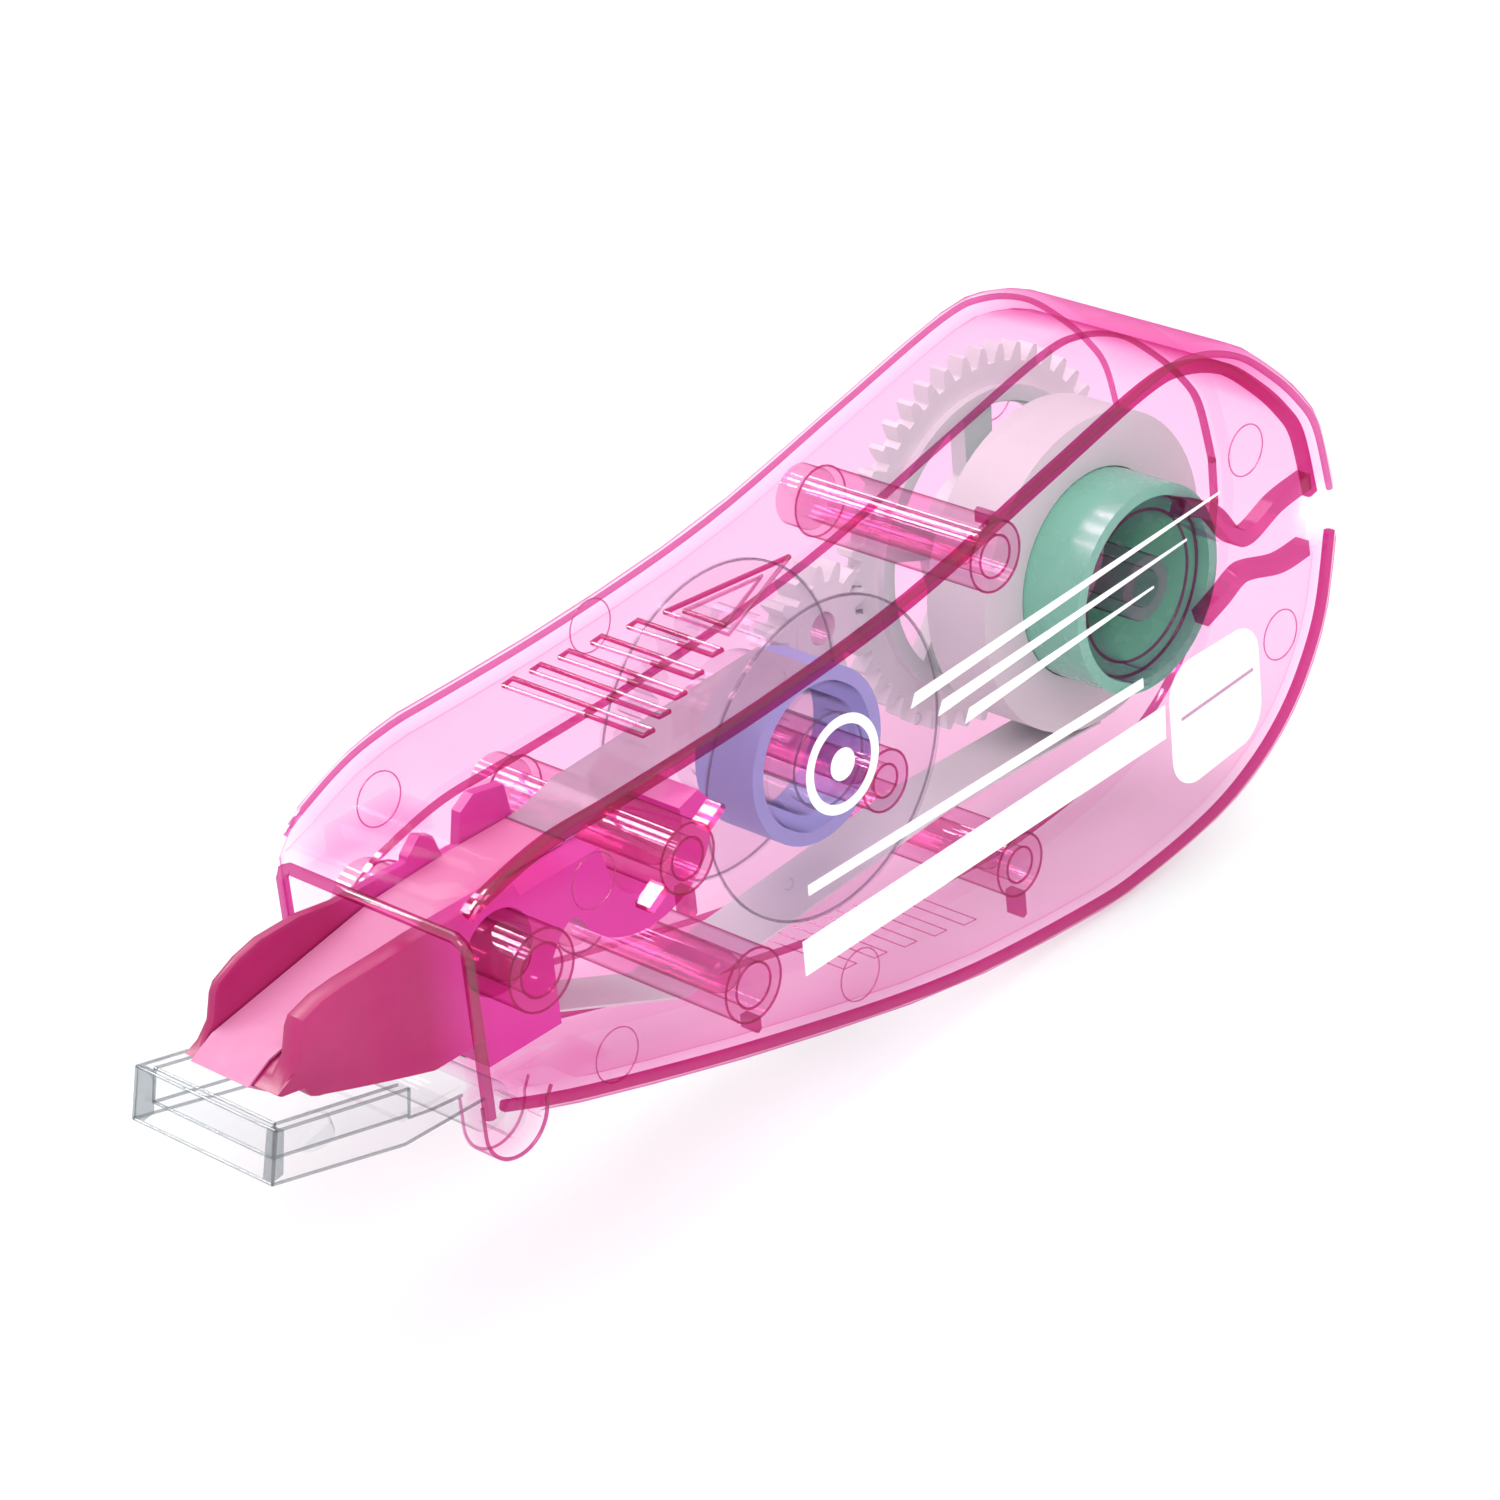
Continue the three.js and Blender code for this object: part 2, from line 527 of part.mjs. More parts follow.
// ---- print on the flat face: plain shapes only ----
const PRINT_Y = NEAR - 0.06;
add("print_strip", slabSolid(poly([[-8.4, -7.35], [-8.4, -5.3], [21.3, -4.75], [21.2, -6.8]]), PRINT_Y, NEAR - 0.01),
  INK);
const badge = new THREE.Shape();
badge.moveTo(21.7, -8.4);
badge.absarc(23.7, -8.6, 2.0, Math.PI, 1.5 * Math.PI, false);
badge.absarc(27.3, -8.0, 2.3, 1.6 * Math.PI, 2 * Math.PI, false);
badge.absarc(27.6, -4.9, 2.0, 0, 0.5 * Math.PI, false);
badge.absarc(23.7, -4.9, 2.0, 0.5 * Math.PI, Math.PI, false);
add("print_badge", slabSolid(badge, PRINT_Y, NEAR - 0.01, 0, 0, 5), INK);
add("print_line", slabSolid(poly([[-7.6, -2.9], [-7.6, -2.3], [19.6, -2.3], [19.6, -2.9]]), PRINT_Y, NEAR - 0.01),
  INK);

export default group;
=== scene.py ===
import math

import bmesh
import bpy
from mathutils import Matrix, Vector


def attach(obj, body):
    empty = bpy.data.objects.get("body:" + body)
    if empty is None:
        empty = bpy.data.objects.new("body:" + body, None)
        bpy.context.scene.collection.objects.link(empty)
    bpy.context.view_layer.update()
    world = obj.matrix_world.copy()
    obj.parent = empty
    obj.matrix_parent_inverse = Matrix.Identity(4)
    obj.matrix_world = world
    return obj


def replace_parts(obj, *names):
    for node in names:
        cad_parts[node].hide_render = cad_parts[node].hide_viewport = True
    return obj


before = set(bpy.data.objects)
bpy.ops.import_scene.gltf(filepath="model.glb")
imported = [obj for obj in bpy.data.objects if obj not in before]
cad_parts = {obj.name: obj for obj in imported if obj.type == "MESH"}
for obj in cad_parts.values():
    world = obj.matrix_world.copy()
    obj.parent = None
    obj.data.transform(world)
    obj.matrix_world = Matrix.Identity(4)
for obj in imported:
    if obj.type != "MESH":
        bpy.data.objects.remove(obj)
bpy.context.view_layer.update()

MM = 0.001
ORIGIN = Vector((-2.5, 0.92, -15.557))  # the row frame's origin, in the housing's own millimetres


def at(x, y, z):
    """A point given in the housing's millimetres, in the row frame in metres."""
    return (Vector((x, y, z)) - ORIGIN) * MM


# ---- camera ----
SENSOR_WIDTH, LENS = 36.0, 121.66  # in millimetres
CLIP_NEAR, CLIP_FAR = 0.01, 20.0  # in metres
camera = bpy.data.objects.new("camera", bpy.data.cameras.new("camera"))
bpy.context.scene.collection.objects.link(camera)
bpy.context.scene.camera = camera
camera.data.sensor_width = SENSOR_WIDTH
camera.data.lens = LENS
camera.data.clip_start = CLIP_NEAR
camera.data.clip_end = CLIP_FAR
right = Vector((0.6825, -0.725, -0.0947)).normalized()
back = Vector((-0.610, -0.636, 0.472)).normalized()
up = back.cross(right).normalized()
right = up.cross(back)
place = at(-166.4, -169.7, 127.6)
camera.matrix_world = Matrix((
    (right.x, up.x, back.x, place.x),
    (right.y, up.y, back.y, place.y),
    (right.z, up.z, back.z, place.z),
    (0, 0, 0, 1),
))

# ---- render settings that belong to the look: light passes through many clear walls ----
scene = bpy.context.scene
scene.view_settings.view_transform = "Standard"
scene.cycles.max_bounces = 40
scene.cycles.transparent_max_bounces = 64
scene.cycles.transmission_bounces = 40
scene.cycles.glossy_bounces = 12
scene.cycles.diffuse_bounces = 4
scene.cycles.caustics_reflective = False
scene.cycles.use_denoising = True


# ---- node helpers ----
def new_material(name):
    m = bpy.data.materials.new(name)
    m.use_nodes = True
    m.node_tree.nodes.clear()
    return m, m.node_tree


def add(nt, kind, values=(), **props):
    """A new node, with its sockets' values and its properties set."""
    n = nt.nodes.new(kind)
    for k, v in props.items():
        setattr(n, k, v)
    for k, v in dict(values).items():
        n.inputs[k].default_value = v
    return n


def join(nt, a, out, b, into):
    nt.links.new(a.outputs[out], b.inputs[into])


def rgb(text):
    """A linear colour from its sRGB hex code."""
    c = [int(text[i:i + 2], 16) / 255 for i in (1, 3, 5)]
    return [v / 12.92 if v <= 0.04045 else ((v + 0.055) / 1.055) ** 2.4 for v in c] + [1.0]


def moulded_bump(nt, scale, distance, strength):
    """The faint unevenness of a moulded face."""
    place_in = add(nt, "ShaderNodeTexCoord")
    noise = add(nt, "ShaderNodeTexNoise", {"Scale": scale, "Detail": 3.0, "Roughness": 0.5})
    bump = add(nt, "ShaderNodeBump", {"Strength": strength, "Distance": distance})
    join(nt, place_in, "Object", noise, "Vector")
    join(nt, noise, "Fac", bump, "Height")
    return bump


FULLY_TURNED = 0.98  # the facing value from which a clear face has all of its turned tint
MIRROR_POWER = 4.0  # how late a clear face starts to mirror
MIRROR_MOST = 0.16  # the share it mirrors at a glancing angle


def clear_plastic(name, tint, turned, shine, rough=0.05, start=0.6, deep=None, density=0.0):
    """See-through moulded plastic. It tints what is behind it at each face, more so where the face turns
    away, and with depth. It mirrors its surroundings at a glancing angle. Lamps and scattered light pass it
    untinted.
    """
    m, nt = new_material(name)
    out = add(nt, "ShaderNodeOutputMaterial")
    path = add(nt, "ShaderNodeLightPath")
    bump = moulded_bump(nt, scale=60.0, distance=0.00001, strength=0.02)
    facing = add(nt, "ShaderNodeLayerWeight", {"Blend": 0.5})
    edge = add(nt, "ShaderNodeMapRange", {"From Min": start, "From Max": FULLY_TURNED},
               interpolation_type="SMOOTHSTEP")
    shade = add(nt, "ShaderNodeMix", data_type="RGBA")
    shade.inputs["A"].default_value = tint
    shade.inputs["B"].default_value = turned
    join(nt, facing, "Facing", edge, "Value")
    join(nt, edge, "Result", shade, "Factor")
    through = add(nt, "ShaderNodeBsdfTransparent")
    nt.links.new(shade.outputs["Result"], through.inputs["Color"])
    gloss = add(nt, "ShaderNodeBsdfGlossy", {"Roughness": rough})
    join(nt, bump, "Normal", gloss, "Normal")
    steep = add(nt, "ShaderNodeMath", {1: MIRROR_POWER}, operation="POWER")
    mirror = add(nt, "ShaderNodeMapRange", {"To Min": shine, "To Max": MIRROR_MOST})
    join(nt, facing, "Facing", steep, 0)
    join(nt, steep, 0, mirror, "Value")
    lit = add(nt, "ShaderNodeMixShader")
    join(nt, mirror, "Result", lit, 0)
    join(nt, through, 0, lit, 1)
    join(nt, gloss, 0, lit, 2)
    after = add(nt, "ShaderNodeMath", {1: 0.5}, operation="GREATER_THAN")
    join(nt, path, "Diffuse Depth", after, 0)
    lamp = add(nt, "ShaderNodeMath", operation="MAXIMUM")
    join(nt, path, "Is Shadow Ray", lamp, 0)
    join(nt, after, 0, lamp, 1)
    clear = add(nt, "ShaderNodeBsdfTransparent")
    mix = add(nt, "ShaderNodeMixShader")
    join(nt, lamp, 0, mix, 0)
    join(nt, lit, 0, mix, 1)
    join(nt, clear, 0, mix, 2)
    join(nt, mix, 0, out, "Surface")
    if deep:
        depth = add(nt, "ShaderNodeVolumeAbsorption", {"Color": deep, "Density": density})
        none = add(nt, "ShaderNodeVolumeAbsorption", {"Color": (1, 1, 1, 1), "Density": 0.0})
        inside = add(nt, "ShaderNodeMixShader")
        join(nt, lamp, 0, inside, 0)
        join(nt, depth, 0, inside, 1)
        join(nt, none, 0, inside, 2)
        join(nt, inside, 0, out, "Volume")
    return m


ROUGH_SPREAD = 0.07  # how far the roughness of a solid face strays to either side


def solid_plastic(name, colour, dark, rough, grain=900.0, depth=0.00006, coat=0.0, inner=None):
    """Solid moulded plastic with slight colour variation and a fine grain. The inner colour, if any, is
    painted light: a lighter colour that takes over between two places along the object's x axis.
    """
    m, nt = new_material(name)
    out = add(nt, "ShaderNodeOutputMaterial")
    b = add(nt, "ShaderNodeBsdfPrincipled", {"IOR": 1.5, "Coat Weight": coat, "Coat Roughness": 0.12})
    place_in = add(nt, "ShaderNodeTexCoord")
    flow = add(nt, "ShaderNodeTexNoise", {"Scale": 95.0, "Detail": 4.0, "Roughness": 0.6})
    fine = add(nt, "ShaderNodeTexNoise", {"Scale": grain, "Detail": 2.0, "Roughness": 0.5})
    ramp = add(nt, "ShaderNodeMix", data_type="RGBA")
    ramp.inputs["A"].default_value = dark
    ramp.inputs["B"].default_value = colour
    worn = add(nt, "ShaderNodeMapRange", {"From Min": 0.3, "From Max": 0.7, "To Min": rough - ROUGH_SPREAD,
                                          "To Max": rough + ROUGH_SPREAD})
    bump = add(nt, "ShaderNodeBump", {"Strength": 0.25, "Distance": depth})
    spread = add(nt, "ShaderNodeMapRange", {"From Min": 0.32, "From Max": 0.62})
    join(nt, place_in, "Object", flow, "Vector")
    join(nt, place_in, "Object", fine, "Vector")
    join(nt, flow, "Fac", spread, "Value")
    join(nt, spread, "Result", ramp, "Factor")
    last = ramp
    if inner:
        lit_colour, x0, x1 = inner
        split = add(nt, "ShaderNodeSeparateXYZ")
        along = add(nt, "ShaderNodeMapRange", {"From Min": x0, "From Max": x1})
        last = add(nt, "ShaderNodeMix", data_type="RGBA")
        last.inputs["B"].default_value = lit_colour
        join(nt, place_in, "Object", split, "Vector")
        join(nt, split, "X", along, "Value")
        join(nt, along, "Result", last, "Factor")
        nt.links.new(ramp.outputs["Result"], last.inputs["A"])
    nt.links.new(last.outputs["Result"], b.inputs["Base Color"])
    join(nt, fine, "Fac", worn, "Value")
    join(nt, worn, "Result", b, "Roughness")
    join(nt, fine, "Fac", bump, "Height")
    join(nt, bump, "Normal", b, "Normal")
    join(nt, b, 0, out, "Surface")
    return m


DARKER = 0.94  # the darkest patches of a thin film, against its own tint


def thin_clear(name, tint, shine=0.12, rough=0.06, colour=None, cover=0.0):
    """A thin see-through lip or film: it tints what is behind it, mirrors the lamps and may cover part of
    what is behind it.
    """
    m, nt = new_material(name)
    out = add(nt, "ShaderNodeOutputMaterial")
    place_in = add(nt, "ShaderNodeTexCoord")
    noise = add(nt, "ShaderNodeTexNoise", {"Scale": 320.0, "Detail": 3.0, "Roughness": 0.55})
    flow = add(nt, "ShaderNodeMix", data_type="RGBA")
    flow.inputs["A"].default_value = [c * DARKER for c in tint[:3]] + [1.0]
    flow.inputs["B"].default_value = tint
    join(nt, place_in, "Object", noise, "Vector")
    join(nt, noise, "Fac", flow, "Factor")
    through = add(nt, "ShaderNodeBsdfTransparent")
    nt.links.new(flow.outputs["Result"], through.inputs["Color"])
    gloss = add(nt, "ShaderNodeBsdfGlossy", {"Roughness": rough})
    mix = add(nt, "ShaderNodeMixShader", {0: shine})
    join(nt, through, 0, mix, 1)
    join(nt, gloss, 0, mix, 2)
    last = mix
    if colour:
        body = add(nt, "ShaderNodeBsdfDiffuse", {"Color": colour})
        last = add(nt, "ShaderNodeMixShader", {0: cover})
        join(nt, mix, 0, last, 1)
        join(nt, body, 0, last, 2)
    path = add(nt, "ShaderNodeLightPath")
    clear = add(nt, "ShaderNodeBsdfTransparent")
    seen = add(nt, "ShaderNodeMixShader")
    join(nt, path, "Is Shadow Ray", seen, 0)
    join(nt, last, 0, seen, 1)
    join(nt, clear, 0, seen, 2)
    join(nt, seen, 0, out, "Surface")
    return m


PINK = (0.92, 0.0, 0.58, 1.0)  # what is left of white light deep in the pink plastic
shell_mat = clear_plastic("pink_clear", tint=(1.0, 0.955, 0.98, 1.0), turned=(0.86, 0.33, 0.63, 1.0),
                          shine=0.003, rough=0.03, start=0.64, deep=PINK, density=128.0)
post_mat = clear_plastic("pink_clear_posts", tint=(0.985, 0.83, 0.915, 1.0), turned=(0.66, 0.08, 0.36, 1.0),
                         shine=0.1, rough=0.01, start=0.62, deep=PINK, density=60.0)
edge_mat = thin_clear("pink_clear_lips", (0.84, 0.30, 0.60, 1.0))
# The corner and rim tints colour the bands along the rounded edges: partly the wall's own deep pink seen
# edge-on, partly painted shade. The corner tint also colours the grip bars' deeper edges.
deep_mat = thin_clear("pink_clear_corner", (0.80, 0.22, 0.52, 1.0), shine=0.06)
rim_mat = thin_clear("pink_clear_rim", (0.89, 0.43, 0.69, 1.0), shine=0.08)
mark_mat = thin_clear("pink_clear_marks", (0.93, 0.52, 0.76, 1.0), shine=0.2)
reel_mat = clear_plastic("smoke_clear_reel", tint=(0.955, 0.945, 0.96, 1.0), turned=(0.5, 0.47, 0.53, 1.0),
                         shine=0.02)
cap_mat = clear_plastic("clear_cap", tint=(0.962, 0.97, 0.973, 1.0), turned=(0.62, 0.66, 0.67, 1.0),
                        shine=0.03, rough=0.03)
wire_mat = thin_clear("grey_clear_edges", (0.72, 0.75, 0.76, 1.0), shine=0.15)
return_mat = thin_clear("grey_film", (0.80, 0.76, 0.80, 1.0), shine=0.05, rough=0.2,
                        colour=(0.62, 0.56, 0.61, 1.0), cover=0.5)
# Painted light: the head is one moulded part, and it is given a lighter colour where it lies inside the
# housing.
PAINTED_LIGHT_FROM, PAINTED_LIGHT_TO = -0.0280, -0.0235  # x in metres, where the head passes into the housing
head_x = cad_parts["tape_head"].matrix_world.translation.x
head_mat = solid_plastic("magenta_head", rgb("#b42368"), rgb("#a82060"), rough=0.36,
                         inner=(rgb("#d43aa0"), PAINTED_LIGHT_FROM - head_x, PAINTED_LIGHT_TO - head_x))
mint_mat = solid_plastic("mint_core", (0.20, 0.62, 0.41, 1), (0.17, 0.57, 0.375, 1), rough=0.25, grain=700.0,
                         depth=0.00004, coat=0.35)
gear_mat = solid_plastic("grey_gears", rgb("#e6e8e8"), rgb("#dcdfdf"), rough=0.42)
tape_mat = solid_plastic("white_tape", rgb("#d6dad8"), rgb("#ced2d0"), rough=0.55)
film_mat = solid_plastic("pink_film", rgb("#dc86b2"), rgb("#d67eab"), rough=0.6)
liner_mat = solid_plastic("blue_liner", rgb("#a2aede"), rgb("#98a4d5"), rough=0.45)
ink_mat = solid_plastic("white_ink", rgb("#ffffff"), rgb("#fbfbfb"), rough=0.6)

# The material of each CAD node, by the start of its name.
BY_NODE = {
    "shell_": shell_mat,
    "post_": post_mat,
    "pin_": post_mat,
    "axle_": post_mat,
    "supply_gear": gear_mat,
    "idler_gear": gear_mat,
    "supply_core": mint_mat,
    "correction_roll": tape_mat,
    "takeup_reel": reel_mat,
    "takeup_gear": reel_mat,
    "used_liner": liner_mat,
    "tape_feed": tape_mat,
    "tape_tip": film_mat,
    "tape_return": return_mat,
    "tape_head": head_mat,
    "tip_cap": cap_mat,
    "print_": ink_mat,
}


SMOOTH_ANGLE = 32.0  # degrees
WELD = 0.000002  # metres


def smooth(obj):
    """Welds the facets' corners and shades the surface smooth except across edges sharper than the angle."""
    tree = bpy.data.node_groups.new("smooth_" + obj.name, "GeometryNodeTree")
    tree.interface.new_socket("Geometry", in_out="INPUT", socket_type="NodeSocketGeometry")
    tree.interface.new_socket("Geometry", in_out="OUTPUT", socket_type="NodeSocketGeometry")
    start = tree.nodes.new("NodeGroupInput")
    end = tree.nodes.new("NodeGroupOutput")
    merge = tree.nodes.new("GeometryNodeMergeByDistance")
    merge.inputs["Distance"].default_value = WELD
    face = tree.nodes.new("GeometryNodeSetShadeSmooth")
    face.domain = "FACE"
    edge = tree.nodes.new("GeometryNodeSetShadeSmooth")
    edge.domain = "EDGE"
    angle = tree.nodes.new("GeometryNodeInputMeshEdgeAngle")
    low = tree.nodes.new("FunctionNodeCompare")
    low.data_type = "FLOAT"
    low.operation = "LESS_THAN"
    low.inputs["B"].default_value = math.radians(SMOOTH_ANGLE)
    face.inputs["Shade Smooth"].default_value = True
    tree.links.new(start.outputs[0], merge.inputs["Geometry"])
    tree.links.new(merge.outputs["Geometry"], face.inputs["Geometry"])
    tree.links.new(face.outputs["Geometry"], edge.inputs["Geometry"])
    tree.links.new(angle.outputs["Unsigned Angle"], low.inputs["A"])
    tree.links.new(low.outputs["Result"], edge.inputs["Shade Smooth"])
    tree.links.new(edge.outputs["Geometry"], end.inputs[0])
    mod = obj.modifiers.new("smooth", "NODES")
    mod.node_group = tree


for name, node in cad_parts.items():
    found = [m for key, m in BY_NODE.items() if name.startswith(key)][0]
    node.data.materials.clear()
    node.data.materials.append(found)
    smooth(node)

# ---- the housing's outline in the side view, as the seam's lips and the bands along its rounded edges follow it ----
NEAR, FAR, SEAM = -7.3, 9.2, 0.8  # y of the printed side, the geared side and the seam
WALL = 1.05  # thickness of the shells
TAPER_X, TAPER_LENGTH = -20, 11  # the geared side narrows forward of this x, over this length
TAPER = 0.0238  # by this share per millimetre
TOP = [(-30.0, 7.3), (-28.6, 7.9), (-24.0, 8.9), (-18.3, 9.0), (-8.1, 9.4), (3.1, 10.6), (14.0, 13.0),
       (22.8, 14.9), (26.6, 14.8), (30.2, 13.4), (33.1, 11.1), (35.4, 8.7), (37.0, 6.2), (38.0, 1.9)]
BELLY = [(38.0, -1.0), (36.8, -5.6), (34.9, -8.9), (32.5, -11.4), (29.4, -13.3), (25.6, -14.6),
         (20.0, -15.4), (14.8, -15.5), (3.1, -14.3), (-10.8, -11.1), (-23.6, -7.4), (-29.6, -5.2)]


def rounded_line(points, steps=6):
    """Points of a smooth line through the given ones."""
    found = []
    for i in range(len(points) - 1):
        p = [Vector(points[max(0, min(len(points) - 1, i + k))]) for k in (-1, 0, 1, 2)]
        for j in range(steps):
            t = j / steps
            v0, v1 = (p[2] - p[0]) / 2, (p[3] - p[1]) / 2
            found.append((2 * p[1] - 2 * p[2] + v0 + v1) * t ** 3
                         + (-3 * p[1] + 3 * p[2] - 2 * v0 - v1) * t ** 2 + v0 * t + p[1])
    return found + [Vector(points[-1])]


def half_width(x, y):
    """A place across the housing, moved inwards where the geared side narrows."""
    if x >= TAPER_X or y <= SEAM:
        return y
    return SEAM + (y - SEAM) * (1 + TAPER * max(x - TAPER_X, -TAPER_LENGTH))


def inset_line(line, by):
    """The line moved inwards, to the right of its direction of travel."""
    moved = []
    for i, p in enumerate(line):
        t = (line[min(i + 1, len(line) - 1)] - line[max(i - 1, 0)]).normalized()
        moved.append(p + Vector((t.y, -t.x)) * by)
    return moved


def mesh_piece(name, points, faces, material, body="housing", slot="clear_pink_shell", angle=40.0):
    """A piece from points in the housing's millimetres, riding on a body. Edges past the angle stay sharp."""
    mesh = bpy.data.meshes.new(name)
    mesh.from_pydata([at(*p) for p in points], [], faces)
    mesh.validate()
    bm = bmesh.new()
    bm.from_mesh(mesh)
    bmesh.ops.recalc_face_normals(bm, faces=bm.faces)
    bm.to_mesh(mesh)
    bm.free()
    mesh.shade_smooth()
    mesh.set_sharp_from_angle(angle=math.radians(angle))
    obj = bpy.data.objects.new(name, mesh)
    bpy.context.scene.collection.objects.link(obj)
    mesh.materials.append(material)
    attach(obj, body)
    return obj


def swept(name, line, section, material, **more):
    """A bar along a side-view line. The section is a list of (inset from the line, y)."""
    rings = [inset_line(line, by) for by, _ in section]
    n = len(section)
    points = []
    for i in range(len(line)):
        for k, (_, y) in enumerate(section):
            x, z = rings[k][i]
            points.append((x, half_width(x, y), z))
    faces = [[i * n + k, i * n + (k + 1) % n, (i + 1) * n + (k + 1) % n, (i + 1) * n + k]
             for i in range(len(line) - 1) for k in range(n)]
    faces += [list(range(n)), [(len(line) - 1) * n + k for k in reversed(range(n))]]
    return mesh_piece(name, points, faces, material, **more)


EASE = 0.1  # how far the edges of a lip or band are eased
LIP_GAP = 0.04  # clearance between a lip or band and the wall it follows


def corner(y, depth, width):
    """A section of a lip or band in the corner of a wall, with its open edge eased."""
    a, b = WALL + LIP_GAP, WALL + depth
    return [(a, y), (b - EASE, y), (b, y + EASE), (b, y + (width - EASE)), (b - EASE, y + width),
            (a, y + width)]


def bar(inset, y, across, width):
    """A band's section inside a wall, with its edges eased."""
    a, b = inset, inset + across
    return [(a, y + EASE), (a + EASE, y), (b - EASE, y), (b, y + EASE), (b, y + width - EASE),
            (b - EASE, y + width), (a + EASE, y + width), (a, y + width - EASE)]


top_line = rounded_line(TOP)
rear_line = [Vector(TOP[-1]), Vector((38.0, 0.45)), Vector(BELLY[0])]
belly_line = rounded_line(BELLY)
# Bands along the rounded near and far edges: partly the wall's own deep pink seen edge-on, partly painted
# shade of the rounded edges. The seam's lips follow the same lines.
swept("near_corner_depth_and_shade_top", top_line, corner(NEAR + WALL + LIP_GAP, depth=0.75, width=0.62), deep_mat)
swept("near_rim_depth_and_shade_top", top_line, bar(0.42, NEAR + 0.4, across=0.38, width=0.38), rim_mat)
swept("near_corner_depth_and_shade_belly", belly_line, bar(0.42, NEAR + 0.4, across=0.55, width=0.55), deep_mat)
for label, line in (("top", top_line), ("rear", rear_line), ("belly", belly_line)):
    swept(f"far_corner_depth_and_shade_{label}", line, bar(0.45, FAR - 0.82, across=0.34, width=0.36), rim_mat)
    swept(f"seam_lip_{label}", line, corner(SEAM + 0.3, depth=0.3, width=0.5), edge_mat)

ASIDE = Vector((0.3, 0.2, 0.93))  # a direction that no bar follows


def tubes(name, lines, radius, material, sides=8, loop=False, **more):
    """Round bars along lines of (x, y, z) points, as one piece."""
    points, faces = [], []
    for line in lines:
        line = [Vector(p) for p in line]
        n = len(line)
        first = len(points)
        for i, p in enumerate(line):
            a = line[(i - 1) % n] if loop else line[max(i - 1, 0)]
            b = line[(i + 1) % n] if loop else line[min(i + 1, n - 1)]
            along = (b - a).normalized()
            side = along.cross(ASIDE).normalized()
            over = along.cross(side)
            for k in range(sides):
                t = 2 * math.pi * k / sides
                points.append(tuple(p + side * radius * math.cos(t) + over * radius * math.sin(t)))
        for i in range(n if loop else n - 1):
            j = (i + 1) % n
            for k in range(sides):
                after = (k + 1) % sides
                faces.append([first + i * sides + k, first + i * sides + after, first + j * sides + after,
                              first + j * sides + k])
        if not loop:
            faces.append([first + k for k in range(sides)])
            faces.append([first + (n - 1) * sides + k for k in reversed(range(sides))])
    return mesh_piece(name, points, faces, material, angle=80.0, **more)


SMALL_RING, FEW_SIDES, MANY_SIDES = 3, 28, 72  # below this radius a ring has few sides


def hoops(name, rings, thick, material, **more):
    """Thin raised rings square to Y. Each ring is (x, y, z, radius)."""
    lines = []
    for x, y, z, radius in rings:
        n = FEW_SIDES if radius < SMALL_RING else MANY_SIDES
        turns = [2 * math.pi * i / n for i in range(n)]
        lines.append([(x + radius * math.cos(t), y, z + radius * math.sin(t)) for t in turns])
    return tubes(name, lines, thick, material, sides=6, loop=True, **more)


def pad(name, rows, y0, y1, material, **more):
    """A thin printed or moulded pad between two rows of (x, z) points."""
    a, b = rows
    n = len(a)
    points = [(x, y0, z) for x, z in a] + [(x, y0, z) for x, z in b]
    points += [(x, y1, z) for x, z in a] + [(x, y1, z) for x, z in b]
    faces = []
    for i in range(n - 1):
        faces += [[i, i + 1, n + i + 1, n + i], [2 * n + i, 3 * n + i, 3 * n + i + 1, 2 * n + i + 1],
                  [i, 2 * n + i, 2 * n + i + 1, i + 1], [n + i, n + i + 1, 3 * n + i + 1, 3 * n + i]]
    faces += [[0, n, 3 * n, 2 * n], [n - 1, 3 * n - 1, 4 * n - 1, 2 * n - 1]]
    return mesh_piece(name, points, faces, material, **more)


# ---- moulded marks and lips ----
EJECTOR_RADIUS, EJECTOR_LINE = 1.5, 0.045
EJECTORS = {
    "near": [(-21.2, -6.2, 4.2), (-21.1, -6.2, -6.0), (-3.3, -6.2, -10.2), (30.8, -6.2, 6.7),
             (33.0, -6.2, -5.8)],
    "far": [(-23.0, 7.3, 5.5), (-6.5, 8.1, 8.0), (26.1, 8.1, 8.5)],
}
for wall, marks in EJECTORS.items():
    hoops(f"ejector_marks_{wall}", [(*mark, EJECTOR_RADIUS) for mark in marks], EJECTOR_LINE, mark_mat)


def turned_piece(name, x, z, profile, material, node, slot):
    """A round piece on a Y axis that stands for a CAD node. The profile is a closed list of (radius, y)."""
    sides = MANY_SIDES
    points = []
    for i in range(sides):
        t = 2 * math.pi * i / sides
        points += [(x + radius * math.cos(t), y, z + radius * math.sin(t)) for radius, y in profile]
    n = len(profile)
    faces = [[i * n + k, i * n + (k + 1) % n, (i + 1) % sides * n + (k + 1) % n, (i + 1) % sides * n + k]
             for i in range(sides) for k in range(n)]
    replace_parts(mesh_piece(name, points, faces, material, slot=slot), node)


